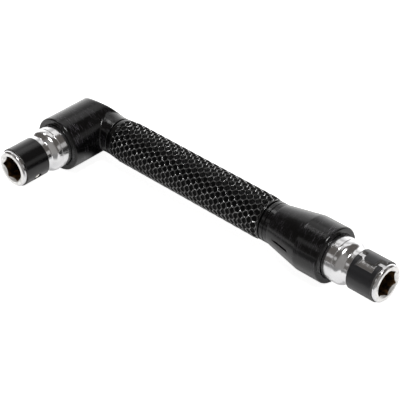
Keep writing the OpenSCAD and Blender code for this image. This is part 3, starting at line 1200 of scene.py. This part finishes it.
@dataclass
class Handle:
    """The handle: elbow head, knurled grip and end ferrule around their core rod."""

    place: Place
    side_place: Place
    inline_place: Place
    finishes: Finishes
    sizes: HolderSizes = SIZES
    head_r: float = 7.754
    back_y: float = 3.8
    back_r: float = 10.2
    back_lean_deg: float = 7.0
    side_face: float = 14.4
    neck_l: float = 10.0
    neck_root_l: float = 5.0
    neck_end_l: float = 2.2
    neck_r: float = 5.45
    elbow_r: float = 5.8
    grip_r: float = 5.95
    seam_r: float = 5.05
    seam_w: float = 0.5
    front_band_r: float = 5.5
    band_r: float = 5.65
    knurl_x: float = 13.8
    knurl_l: float = 51.0
    rear_band_l: float = 1.6
    lip_l: float = 1.15
    line_w: float = 0.2
    line_depth: float = 0.2
    second_band_l: float = 1.45
    flare_r: float = 5.78
    flare_l: float = 10.5
    rim_l: float = 7.7
    rim_edge: float = 0.45
    rim_lead: float = 2.0
    rod_r: float = 2.52
    rod_seat_l: float = 9.0
    web: float = 2.7
    slit_l: float = 6.6
    slit_w: float = 0.6
    slit_depth: float = 0.5
    slit_deg: float = 178.0
    pin_r: float = 1.02
    pin_back: float = 4.5
    pin_under: float = 1.0
    pin_depth: float = 1.2
    cells_around: int = 20
    cell_pitch: float = 2.92
    cell_depth: float = 0.36
    crest_w: float = 0.32
    knurl_lead: float = 1.9
    knurl_tail: float = 1.25
    band_sheen: float = 0.5
    knurl_fade_l: float = 0.5
    start_ramp_l: float = 0.35
    start_drop: float = 0.12
    end_ramp_l: float = 0.35
    corner_power: float = 5.0
    far_gap: float = 9.0
    least_gap: float = 0.001
    points_around: int = 14
    points_along: int = 17
    fan_rows: int = 150
    head_columns: int = 320
    ferrule_columns: int = 256
    pivot_gap: float = 0.75
    halvings: int = 30
    blend_r: float = 0.3
    back_edge: float = 0.6
    taper_edge: float = 0.12
    crisp_edge: float = 0.05
    line_edge: float = 0.06
    hole_edge: float = 0.1
    seat_edge: float = 0.15
    band_edge: float = 0.16
    flare_break: float = 0.05
    flare_back_edge: float = 0.1
    flare_front_edge: float = 0.15
    flare_round: float = 3.0
    head_step: float = 0.3
    barrel_start: float = 0.4
    barrel_step: float = 0.5
    neck_join: float = 0.15
    grip_step: float = 0.5
    ferrule_step: float = 0.22

    @property
    def ferrule_x(self) -> float:
        """Returns where the ferrule begins."""
        return self.knurl_x + self.knurl_l + self.rear_band_l + self.seam_w

    @property
    def flare_x(self) -> float:
        """Returns where the flare begins."""
        return self.ferrule_x + self.lip_l + self.line_w + self.second_band_l

    @property
    def end_x(self) -> float:
        """Returns where the ferrule's face lies."""
        return self.flare_x + self.flare_l + self.rim_l

    def seat_outline(self) -> list[Corner]:
        """Lists the corners of a holder's seat, from the body's face to the hole's bottom.

        Returns:
            Radius, place and rounding of each corner, with the face at place 0.
        """
        s = self.sizes
        seat, hole = s.collar_r + s.seat_gap, s.shank_r + s.press_gap
        bottom = s.shank_l + s.shank_end_gap
        return [
            (self.head_r, -self.rim_lead, 0),
            (self.head_r, 0.0, self.rim_edge),
            (seat, 0.0, self.seat_edge),
            (seat, -s.collar_seat, self.crisp_edge),
            (hole, -s.collar_seat, self.crisp_edge),
            (hole, -bottom, self.hole_edge),
            (0.0, -bottom, 0),
        ]

    def head_gap(self, x: np.ndarray, y: np.ndarray, z: np.ndarray) -> np.ndarray:
        """Tells how far a point lies outside the head, roughly in millimetres.

        The barrel is the larger of two distances: to its cylinder, and to its back, a larger
        cylinder along the handle that leans. The neck is a sphere behind the axis, and in
        front of it a root that tapers to a cylinder. The two are joined by the smaller
        distance, with their crease filled.

        Args:
            x: Places along the handle.
            y: Places across it.
            z: Heights.

        Returns:
            The distances, negative inside.
        """
        lean = math.radians(self.back_lean_deg)
        behind = (y - self.back_y + self.back_r) * math.cos(lean) - x * math.sin(lean)
        side = np.hypot(x, z) - self.head_r
        back = np.hypot(np.maximum(behind, 0), z) - self.back_r
        barrel = soft_larger(side, back, self.back_edge)
        run = self.neck_l - self.neck_end_l - self.neck_root_l
        slope = (self.elbow_r - self.neck_r) / run
        taper = self.elbow_r - slope * (x - self.neck_root_l)
        cone = soft_larger(np.minimum(taper, self.elbow_r), self.neck_r + 0 * x, self.taper_edge)
        front = np.hypot(y, z) - cone
        ball = np.sqrt(x**2 + y**2 + z**2) - self.elbow_r
        neck = np.where(x < 0, ball, front)
        return -soft_larger(-barrel, -neck, self.blend_r)

    def head_rings(self) -> np.ndarray:
        """Wraps the head in rings that fan around the inside of the elbow.

        Each ring lies in a plane through a pivot line just outside the elbow's inner corner.
        The planes turn from square to the barrel to square to the neck. Along each ray from
        a plane's middle, halving finds where the head's distance is zero.

        Returns:
            Array of rings, from the barrel's side to the neck's.
        """
        pivot = np.array([self.head_r + self.pivot_gap, -self.neck_r - self.pivot_gap])
        turn = np.linspace(0, math.pi / 2, self.fan_rows)[:, None]
        ray = angles(self.head_columns)
        ahead = np.concatenate([-np.cos(turn), np.sin(turn)], axis=1)
        share = turn / (math.pi / 2)
        reach = pivot[0] * (1 - share) - pivot[1] * share
        middle = pivot + ahead * reach
        low = np.zeros((self.fan_rows, self.head_columns))
        high = low + 3 * self.head_r

        def at(distance: np.ndarray) -> tuple[np.ndarray, np.ndarray, np.ndarray]:
            """Steps along each ray.

            Args:
                distance: How far to go from the plane's middle.

            Returns:
                The places x, y and z.
            """
            out = distance * np.cos(ray)
            return (
                middle[:, :1] + ahead[:, :1] * out,
                middle[:, 1:] + ahead[:, 1:] * out,
                distance * np.sin(ray),
            )

        for _ in range(self.halvings):
            half = (low + high) / 2
            inside = self.head_gap(*at(half)) < 0
            low, high = np.where(inside, half, low), np.where(inside, high, half)
        x, y, z = at(low)
        return np.stack([y, z, x], axis=-1)

    def head(self) -> bpy.types.Object:
        """Makes the elbow head, with the side holder's seat and the rod's hole.

        Returns:
            The head.
        """
        fan = self.head_rings()
        seat = rounded_outline(self.seat_outline(), self.head_step)[::-1]
        seat_y = -(seat[:, 1] + self.side_face)
        run = np.arange(seat_y[-1] + self.barrel_start, float(fan[0, 0, 0]), self.barrel_step)
        radius = np.concatenate([seat[:, 0], np.full_like(run, self.head_r)])[:, None]
        y = np.concatenate([seat_y, run])[:, None]
        ray = angles(self.head_columns)
        barrel = (y, radius * np.sin(ray), -radius * np.cos(ray))
        neck_bottom = self.neck_l - self.rod_seat_l
        neck = rounded_outline(
            [
                (self.neck_r, float(fan[-1, 0, 2]) + self.neck_join, 0),
                (self.neck_r, self.neck_l, self.band_edge),
                (self.rod_r, self.neck_l, self.crisp_edge),
                (self.rod_r, neck_bottom, self.hole_edge),
                (0.0, neck_bottom, 0),
            ],
            self.head_step,
        )
        rings = np.concatenate(
            [
                np.stack(np.broadcast_arrays(*barrel), axis=-1),
                fan,
                revolved(neck, self.head_columns),
            ]
        )
        piece = solid("elbow_casting", self.place.to_frame(rings))
        self.drill_pin(piece, self.side_place)
        piece.data.materials.append(self.finishes.head)
        return piece

    def drill_pin(self, piece: bpy.types.Object, place: Place) -> None:
        """Drills the dowel's hole up into a piece from below.

        Args:
            piece: The head or the ferrule.
            place: Where the holder in it lies.
        """
        start = np.array([0.0, -self.head_r - self.pin_under, -self.pin_back])
        end = np.array([0.0, -self.head_r + self.pin_depth, -self.pin_back])
        carve(piece, rod_cutter(start, end, self.pin_r, place))

    def knurl_height(self, x: np.ndarray, angle: np.ndarray) -> np.ndarray:
        """Gives the knurl's height, from 0 on a cell's floor to 1 on a crest.

        The cells lie on a staggered lattice: two square grids, half a pitch apart both ways. The
        crests follow the borders between the cells. The distance to the border with another
        cell is (its distance squared - the nearest one's) / (twice the way between the two), and
        the distances are joined by the power mean that rounds the cells' corners. A crest
        falls off over its half width as half of one plus a cosine.

        Args:
            x: Places along the handle from the knurl's start.
            angle: Angles around the handle.

        Returns:
            The heights.
        """
        pitch_a = TURN * self.grip_r / self.cells_around
        along, across = x / self.cell_pitch, angle * self.grip_r / pitch_a
        offsets = []
        for shift in (0.0, 0.5):
            near_x = np.round(along - shift) + shift
            near_a = np.round(across - shift) + shift
            for step_x in (-1, 0, 1):
                for step_a in (-1, 0, 1):
                    away_x = (near_x + step_x - along) * self.cell_pitch
                    away_a = (near_a + step_a - across) * pitch_a
                    offsets.append(np.stack(np.broadcast_arrays(away_x, away_a), -1))
        centres = np.stack(offsets)
        squared = (centres**2).sum(-1)
        nearest = squared.argmin(0)
        own = np.take_along_axis(centres, nearest[None, ..., None], 0)
        between = np.sqrt(((centres - own) ** 2).sum(-1))
        gap = (squared - squared.min(0)) / (2 * np.maximum(between, self.least_gap))
        gap = np.where(between < self.least_gap, self.far_gap, np.maximum(gap, self.least_gap))
        border = ((gap**-self.corner_power).sum(0)) ** (-1 / self.corner_power)
        return 0.5 + 0.5 * np.cos(math.pi * np.clip(border / self.crest_w, 0, 1))

    def crest_r(self, x: np.ndarray | float) -> np.ndarray:
        """Gives the crests' radius, which runs down to the plain band's at each end.

        Args:
            x: Places along the handle from the knurl's full start.

        Returns:
            The radii.
        """
        start = self.neck_l + self.seam_w - self.knurl_x
        places = [start, -self.start_ramp_l, 0.0, self.knurl_l, self.knurl_l + self.end_ramp_l]
        full, first = self.grip_r, self.grip_r - self.start_drop
        return np.interp(x, places, [self.front_band_r, first, full, full, self.band_r])

    def grip(self) -> bpy.types.Object:
        """Makes the grip: a tube whose outside carries the knurl between two plain bands.

        A knurl point's radius is the crests' radius - cell_depth * (1 - height), and the cells
        fade out towards both ends.

        Returns:
            The grip.
        """
        columns = self.cells_around * self.points_around
        front, rear = self.neck_l + self.seam_w, self.ferrule_x - self.seam_w
        low, high = -self.knurl_lead, self.knurl_l + self.knurl_tail
        start = rounded_outline(
            [
                (self.rod_r, self.neck_l, 0),
                (self.seam_r, self.neck_l, 0),
                (self.seam_r, front, 0),
                (self.front_band_r, front, self.band_edge),
                (float(self.crest_r(low)), self.knurl_x + low, 0),
            ],
            self.grip_step,
        )
        finish = rounded_outline(
            [
                (self.band_r, self.knurl_x + high, 0),
                (self.band_r, rear, self.band_edge),
                (self.seam_r, rear, 0),
                (self.seam_r, self.ferrule_x, 0),
                (self.rod_r, self.ferrule_x, 0),
            ],
            self.grip_step,
        )
        rows = round((high - low) / self.cell_pitch * self.points_along)
        x = np.linspace(low, high, rows)[1:-1, None]
        angle = angles(columns)[None, :]
        height = self.knurl_height(x, angle)
        fade = np.clip(np.minimum(x - low, high - x) / self.knurl_fade_l, 0, 1)
        radius = self.crest_r(x) - self.cell_depth * (1 - height) * fade
        knurl = around(radius, angle, x + self.knurl_x)
        rings = np.concatenate([revolved(start, columns), knurl, revolved(finish, columns)])
        piece = solid("knurled_tube", self.place.to_frame(rings), endless=True)
        bands = [np.full(len(outline) * columns, self.band_sheen) for outline in (start, finish)]
        crest = np.concatenate([bands[0], height.ravel(), bands[1]])
        piece.data.attributes.new("crest", "FLOAT", "POINT").data.foreach_set("value", crest)
        piece.data.materials.append(self.finishes.knurl)
        return piece

    def ferrule(self) -> bpy.types.Object:
        """Makes the end ferrule, with the in-line holder's seat, the rod's hole and the slit.

        Returns:
            The ferrule.
        """
        line_x = self.ferrule_x + self.lip_l
        second_x = line_x + self.line_w
        line_r = self.band_r - self.line_depth
        rod_end = self.end_x - self.sizes.shank_l - self.sizes.shank_end_gap - self.web
        outside = [
            (0.0, rod_end, 0),
            (self.rod_r, rod_end, self.hole_edge),
            (self.rod_r, self.ferrule_x, self.crisp_edge),
            (self.band_r, self.ferrule_x, self.band_edge),
            (self.band_r, line_x, self.line_edge),
            (line_r, line_x, 0),
            (line_r, second_x, 0),
            (self.band_r, second_x, self.line_edge),
            (self.band_r, self.flare_x - self.flare_break, self.flare_back_edge),
            (self.flare_r, self.flare_x + self.flare_break, self.flare_front_edge),
            (self.head_r, self.flare_x + self.flare_l, self.flare_round),
            (self.head_r, self.end_x, self.rim_edge),
        ]
        seat = [(r, z + self.end_x, rounding) for r, z, rounding in self.seat_outline()[2:]]
        outline = rounded_outline(outside + seat, self.ferrule_step)
        rings = revolved(outline, self.ferrule_columns)
        piece = solid("flared_ferrule", self.place.to_frame(rings))
        carve(piece, self.slit_cutter())
        self.drill_pin(piece, self.inline_place)
        piece.data.materials.append(self.finishes.ferrule)
        return piece

    def slit_cutter(self) -> bpy.types.Object:
        """Makes the thin disc that cuts the slit into the flare, along its slope.

        A saw of radius (half length^2 + depth^2) / (2 depth) cuts a slit of that length and
        depth.

        Returns:
            The disc.
        """
        saw_r = ((self.slit_l / 2) ** 2 + self.slit_depth**2) / (2 * self.slit_depth)
        slope = math.atan2(self.head_r - self.flare_r, self.flare_l)
        turn = math.radians(self.slit_deg)
        outward = np.array([math.cos(turn), math.sin(turn), 0.0])
        sideways = np.array([-math.sin(turn), math.cos(turn), 0.0])
        along = np.array([0.0, 0.0, 1.0])
        lift = outward * math.cos(slope) - along * math.sin(slope)
        foot = outward * (self.flare_r + self.head_r) / 2
        foot = foot + along * (self.flare_x + self.flare_l / 2)
        centre = foot + lift * (saw_r - self.slit_depth)
        half = sideways * self.slit_w / 2
        return rod_cutter(centre - half, centre + half, saw_r, self.place)

    def build(self) -> list[bpy.types.Object]:
        """Makes the handle's pieces, and puts each on its body and its finish.

        Returns:
            The pieces.
        """
        head, grip, ferrule = self.head(), self.grip(), self.ferrule()
        for piece, node, slot in (
            (head, "elbow_head", "black_body"),
            (grip, "knurled_grip", "knurled_black"),
            (ferrule, "end_ferrule", "black_body"),
        ):
            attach(piece, "tool")
            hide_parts(node)
        dress(frame["nodes"]["core_rod"], self.finishes.bare)
        return [head, grip, ferrule]


def soft_larger(a: np.ndarray, b: np.ndarray, width: float) -> np.ndarray:
    """Takes the larger of two values, rounded where they differ by less than a width.

    There, the larger value grows by the squared remaining width over four widths.

    Args:
        a: First values.
        b: Second values.
        width: The width, in the values' unit.

    Returns:
        The rounded larger values.
    """
    near = np.clip(width - np.abs(a - b), 0, None)
    return np.maximum(a, b) + near**2 / (4 * width)


# Studio


@dataclass(frozen=True)
class Softbox:
    """One lamp with a soft, rectangular face that looks at the tool, in degrees and metres."""

    name: str
    azimuth: float
    elevation: float
    width: float
    height: float
    brightness: float
    distance: float = 0.9

    def build(self, target: np.ndarray) -> None:
        """Adds the lamp.

        Args:
            target: The place that it looks at, in metres.
        """
        lamp = bpy.data.lights.new(self.name, "AREA")
        lamp.shape = "RECTANGLE"
        lamp.size, lamp.size_y = self.width, self.height
        lamp.energy = self.brightness * math.pi * self.width * self.height
        outward = direction(self.azimuth, self.elevation)
        thing = bpy.data.objects.new(self.name, lamp)
        thing.matrix_world = looking(target + outward * self.distance, outward, 0.0)
        bpy.context.scene.collection.objects.link(thing)


def direction(azimuth: float, elevation: float) -> np.ndarray:
    """Returns the way toward an azimuth and an elevation, in degrees. Azimuth 0 is -Y."""
    a, e = math.radians(azimuth), math.radians(elevation)
    return np.array([math.sin(a) * math.cos(e), -math.cos(a) * math.cos(e), math.sin(e)])


def looking(place: np.ndarray, outward: np.ndarray, roll: float) -> Matrix:
    """Builds the matrix of a camera or lamp that looks against a given way.

    Args:
        place: Where it stands, in metres.
        outward: The way from what it looks at toward it.
        roll: Turn about its own axis, in degrees.

    Returns:
        The matrix.
    """
    side = unit(np.cross([0.0, 0.0, 1.0], outward))
    top = np.cross(outward, side)
    r = math.radians(roll)
    right = side * math.cos(r) + top * math.sin(r)
    upward = top * math.cos(r) - side * math.sin(r)
    matrix = np.eye(4)
    matrix[:3, 0], matrix[:3, 1], matrix[:3, 2], matrix[:3, 3] = right, upward, outward, place
    return Matrix(matrix.tolist())


@dataclass
class Studio:
    """Camera, floor and soft light of a product photograph.

    The camera's and the floor corner's places are in millimetres, the floor's reach in metres.
    """

    crossing: np.ndarray
    azimuth: float = 44.497
    elevation: float = 36.062
    roll: float = -0.828
    distance_mm: float = 400.0
    focal_px: float = 1530.8
    frame_px: float = 400.0
    sensor_mm: float = 36.0
    target_x: float = 46.796
    target_y: float = -6.129
    floor_near: float = 0.13
    floor_right: float = 0.17
    floor_far: float = 2.0
    floor_glow: float = 0.32
    floor_far_glow: float = 0.75
    floor_seen: float = 0.9
    # Colour of the floor's painted shadow, which only reflections see.
    floor_painted_shadow: float = 0.05
    floor_glow_from: float = 10.0
    floor_glow_to: float = 110.0
    floor_strength: float = 2.0
    floor_colour: Colour = (0.8, 0.8, 0.8)
    # Places of the floor's painted shadow, seen only in reflections: a patch at the elbow's corner and one in
    # front of the grip.
    corner_x: float = 26.0
    corner_x_soft: float = 8.0
    corner_start_soft: float = 6.0
    corner_y: float = 8.0
    corner_y_soft: float = 4.0
    front_x: float = 10.0
    front_y: float = 32.0
    shade_soft: float = 10.0
    front_share: float = 0.8
    room_eye: Colour = (0.32, 0.31, 0.3)
    room_side: Colour = (0.11, 0.1, 0.092)
    room_far: Colour = (1.7, 1.7, 1.7)
    far_azimuth: float = 215.0
    far_edge: tuple[float, float] = (0.55, 0.72)
    side_edge: tuple[float, float] = (-0.75, -0.3)
    height_edge: tuple[float, float] = (0.05, 1.05)
    clip_start: float = 0.01
    clip_end: float = 50.0

    @property
    def target(self) -> np.ndarray:
        """Returns the place that the camera and the lamps look at, in metres."""
        return (self.crossing + np.array([self.target_x, self.target_y, 0.0])) * MM

    def camera(self) -> None:
        """Adds the camera at the photograph's place and angle."""
        data = bpy.data.cameras.new("camera")
        data.sensor_fit = "HORIZONTAL"
        data.sensor_width = self.sensor_mm
        data.lens = self.focal_px / self.frame_px * self.sensor_mm
        data.clip_start, data.clip_end = self.clip_start, self.clip_end
        outward = direction(self.azimuth, self.elevation)
        thing = bpy.data.objects.new("camera", data)
        place = self.target + outward * self.distance_mm * MM
        thing.matrix_world = looking(place, outward, self.roll)
        bpy.context.scene.collection.objects.link(thing)
        bpy.context.scene.camera = thing

    def floor(self) -> None:
        """Adds the white floor, a sheet that ends just in front of the camera's view.

        It glows for the eye, so that it is white there and yet keeps the tool's shadow. It
        glows in reflections too, but for a patch at the elbow and one in front of the grip,
        where reflections see the floor painted dark, as a painted shadow of the tool.
        """
        away, right = -direction(self.azimuth, 0.0), direction(self.azimuth + 90.0, 0.0)
        centre = self.target * np.array([1.0, 1.0, 0.0])
        ways = (
            away * -self.floor_near - right * self.floor_far,
            away * -self.floor_near + right * self.floor_right,
            away * self.floor_far + right * self.floor_right,
            away * self.floor_far - right * self.floor_far,
        )
        piece = add_mesh("floor", np.array([centre + way for way in ways]), [[0, 1, 2, 3]])
        paint = Paint("white_floor")
        eye = paint.output("ShaderNodeLightPath", {}, {}, "Is Camera Ray")
        mirror = paint.output("ShaderNodeLightPath", {}, {}, "Is Glossy Ray")
        x, y = paint.axes(Place(self.crossing, *np.eye(3)))[:2]
        # Painted shadow: for reflections the floor is painted dark at the elbow's inner corner and in front of the
        # grip, where the tool's shade would lie.
        corner = 1 - x.step(self.corner_x, self.corner_x + self.corner_x_soft)
        corner = corner * x.step(0.0, self.corner_start_soft) * mirror
        corner = corner * (y + self.corner_y).step(0.0, self.corner_y_soft)
        corner = corner * (1 - y.step(0.0, self.shade_soft))
        front = x.step(self.front_x, self.front_x + self.shade_soft) * mirror
        front = front * (1 - (y + self.front_y).step(0.0, self.shade_soft))
        painted_shadow = corner + front * self.front_share
        shade = (self.floor_painted_shadow,) * 3
        paint.set("Base Color", paint.blend(painted_shadow, self.floor_colour, shade))
        paint.set("Roughness", 1.0)
        paint.set("Specular IOR Level", 0.0)
        depth = paint.axes(Place(centre / MM, right, np.array([0.0, 0.0, 1.0]), away))[2]
        behind = depth.step(self.floor_glow_from, self.floor_glow_to)
        behind = behind * self.floor_far_glow + self.floor_glow
        # Reflections see no glow inside the painted shadow.
        glow = eye * self.floor_seen + mirror * behind * (1 - painted_shadow)
        share = glow * (1 / self.floor_strength)
        paint.set("Emission Color", paint.blend(share, (0, 0, 0), (1, 1, 1)))
        paint.set("Emission Strength", self.floor_strength)
        piece.data.materials.append(paint.material)

    def world(self) -> None:
        """Sets a room that is white behind the tool, dim behind the camera and white to the eye."""
        world = bpy.data.worlds.new("studio")
        bpy.context.scene.world = world
        world.use_nodes = True
        room = Nodes(world.node_tree)
        way = room.node("ShaderNodeTexCoord", {}, {}).outputs["Generated"]
        behind = tuple(float(v) for v in direction(self.far_azimuth, 0.0))
        facing = room.output(
            "ShaderNodeVectorMath", {"operation": "DOT_PRODUCT"}, {0: way, 1: behind}, "Value"
        )
        height = room.output("ShaderNodeSeparateXYZ", {}, {0: way}, "Z")
        low = 1 - height.step(*self.height_edge)
        near = room.blend(facing.step(*self.side_edge), self.room_eye, self.room_side)
        sky = room.blend(facing.step(*self.far_edge) * low, near, self.room_far)
        eye = room.output("ShaderNodeLightPath", {}, {}, "Is Camera Ray")
        back = room.node("ShaderNodeBackground", {}, {0: room.blend(eye, sky, (1, 1, 1))})
        room.node("ShaderNodeOutputWorld", {}, {0: back.outputs[0]})

    def build(self) -> None:
        """Sets up camera, floor, room and lamps."""
        bpy.context.scene.view_settings.view_transform = "Standard"
        self.camera()
        self.floor()
        self.world()
        for box in (
            Softbox("top_box", 215.0, 56.0, width=0.7, height=0.26, brightness=0.9),
            Softbox("key_box", 48.0, 78.0, width=0.24, height=0.24, brightness=28.0),
            Softbox("glint_box", 265.0, 55.0, width=0.2, height=0.16, brightness=5.0),
            Softbox("left_card", 323.0, 28.0, width=0.26, height=0.2, brightness=0.6),
            Softbox("right_card", 127.0, 20.0, width=0.3, height=0.3, brightness=0.42),
        ):
            box.build(self.target)


def places() -> tuple[np.ndarray, dict[str, Place]]:
    """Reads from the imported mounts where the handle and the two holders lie.

    Returns:
        The crossing of the two axes in millimetres, and the places of handle and holders.
    """
    mounts = {m["name"]: np.array(m["pos_m"], float) / MM for m in frame["record"]["mounts"]}
    joints = {j["name"]: np.array(j["axis"], float) for j in frame["joints"]}
    side, inline = mounts["side_socket"], mounts["inline_socket"]
    x, y, z = np.eye(3)
    crossing = np.array([side[0], inline[1], inline[2]])
    handle = Place(crossing, y, z, x)
    found = {"handle": handle}
    for holder, mouth, level, out in (
        (Holder.SIDE, side, x, -y),
        (Holder.INLINE, inline, y, x),
    ):
        face = mouth - out * SIZES.nose_l
        ball = unit(joints[f"{holder.value}_ball_travel"])
        found[f"{holder.value}_face"] = Place(face, level, z, out)
        found[f"{holder.value}_holder"] = Place(face, ball, np.cross(out, ball), out)
    return crossing, found


def make_finishes(found: dict[str, Place]) -> Finishes:
    """Makes every material once.

    Args:
        found: The places of handle and holders.

    Returns:
        The materials.
    """
    return Finishes(
        head=BlackCoat(
            "black_coat_head", found["side_face"], lines_from=-5.5, lines_to=-0.5
        ).build(),
        ferrule=BlackCoat(
            "black_coat_ferrule", found["inline_face"], lines_from=-3.0, lines_to=-0.5
        ).build(),
        knurl=KnurlCoat("black_coat_knurl").build(),
        chrome={
            holder: Chrome(f"chrome_{holder.value}", found[f"{holder.value}_face"]).build()
            for holder in Holder
        },
        socket=DarkSteel("socket_steel").build(),
        face=GroundSteel("satin_face", (0.88, 0.875, 0.86), 0.42).build(),
        clip={
            # Both clips have one real finish. These are its painted shaded and lit copies: the side clip's is
            # darker and glossier, the in-line clip's greyer and duller, for the light each gets.
            Holder.SIDE: BlackenedSpring("spring_painted_shaded", (0.0025, 0.0025, 0.003), 0.12).build(),
            Holder.INLINE: BlackenedSpring("spring_painted_lit", (0.011, 0.011, 0.013), 0.26).build(),
        },
        ball=GroundSteel("ball_steel", (0.86, 0.84, 0.8), 0.3).build(),
        magnet=GroundSteel("magnet_steel", (0.16, 0.14, 0.13), 0.4).build(),
        bare=GroundSteel("bare_steel", (0.5, 0.51, 0.52), 0.28).build(),
    )


def main() -> None:
    """Builds the tool's pieces and the studio, and reports each piece."""
    logging.basicConfig(level=logging.INFO, format="%(name)s: %(message)s")
    crossing, found = places()
    finishes = make_finishes(found)
    handle = Handle(found["handle"], found["side_face"], found["inline_face"], finishes)
    pieces = handle.build()
    for holder in Holder:
        pieces += BitHolder(holder, found[f"{holder.value}_holder"], finishes).build()
    for piece in pieces:
        LOG.info("%s: %d faces", piece.name, len(piece.data.polygons))
    Studio(crossing).build()


if __name__ == "__main__":
    main()
